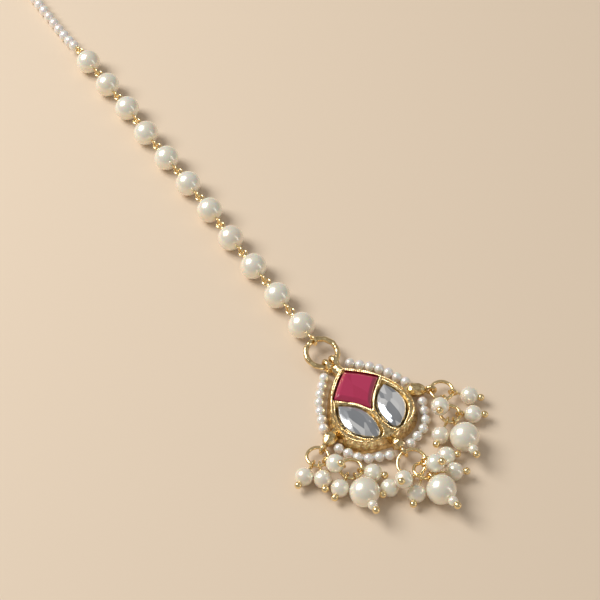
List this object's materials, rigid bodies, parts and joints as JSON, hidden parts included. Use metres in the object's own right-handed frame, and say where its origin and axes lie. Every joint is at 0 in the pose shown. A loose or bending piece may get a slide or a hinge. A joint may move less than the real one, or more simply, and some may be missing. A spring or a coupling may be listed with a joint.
{
  "type": "maang tikka",
  "caption": "Kundan-style forehead pendant of pink and clear stones in a gold setting, with pearl drops, on a pearl chain with a hair hook.",
  "frame": {"origin": "middle of the pendant's flat back, which lies on the surface", "axes": "+Y up the chain from the pendant to the hook, +Z out of the pendant's face"},
  "size_m": [0.0466, 0.2118, 0.0079],
  "materials": {
    "gold": "gold-plated, polished and hammered",
    "pearl": "creamy pearl coat",
    "seed_pearl": "white pearl coat",
    "pink_glass": "polished, foil-backed",
    "clear_glass": "polished, silver-foil-backed"
  },
  "bodies": {
    "root": {"bottom_drop_1": "pearl", "bottom_drop_2": "pearl", "bottom_drop_3": "pearl", "bottom_drop_4": "pearl", "bottom_drop_5": "pearl", "bottom_drop_6": "pearl", "bottom_main_drop": "pearl", "bottom_ring_lower": "gold", "bottom_ring_upper": "gold", "chain_pearl_01": "pearl", "chain_pearl_02": "pearl", "chain_pearl_03": "pearl", "chain_pearl_04": "pearl", "chain_pearl_05": "pearl", "chain_pearl_06": "pearl", "chain_pearl_07": "pearl", "chain_pearl_08": "pearl", "chain_pearl_09": "pearl", "chain_pearl_10": "pearl", "chain_pearl_11": "pearl", "clear_stone_left": "clear_glass", "clear_stone_right": "clear_glass", "end_string": "seed_pearl", "eye_pin_01": "gold", "eye_pin_02": "gold", "eye_pin_03": "gold", "eye_pin_04": "gold", "eye_pin_05": "gold", "eye_pin_06": "gold", "eye_pin_07": "gold", "eye_pin_08": "gold", "eye_pin_09": "gold", "eye_pin_10": "gold", "eye_pin_11": "gold", "hook": "gold", "left_drop_1": "pearl", "left_drop_2": "pearl", "left_drop_3": "pearl", "left_drop_4": "pearl", "left_drop_5": "pearl", "left_link": "gold", "left_main_drop": "pearl", "left_ring_lower": "gold", "left_ring_upper": "gold", "pink_stone": "pink_glass", "right_drop_1": "pearl", "right_drop_2": "pearl", "right_drop_3": "pearl", "right_drop_4": "pearl", "right_link": "gold", "right_main_drop": "pearl", "right_ring_lower": "gold", "right_ring_upper": "gold", "seed_string_lower_left": "seed_pearl", "seed_string_lower_right": "seed_pearl", "seed_string_upper_left": "seed_pearl", "seed_string_upper_right": "seed_pearl", "setting": "gold", "top_ring": "gold"}
  },
  "joints": []
}
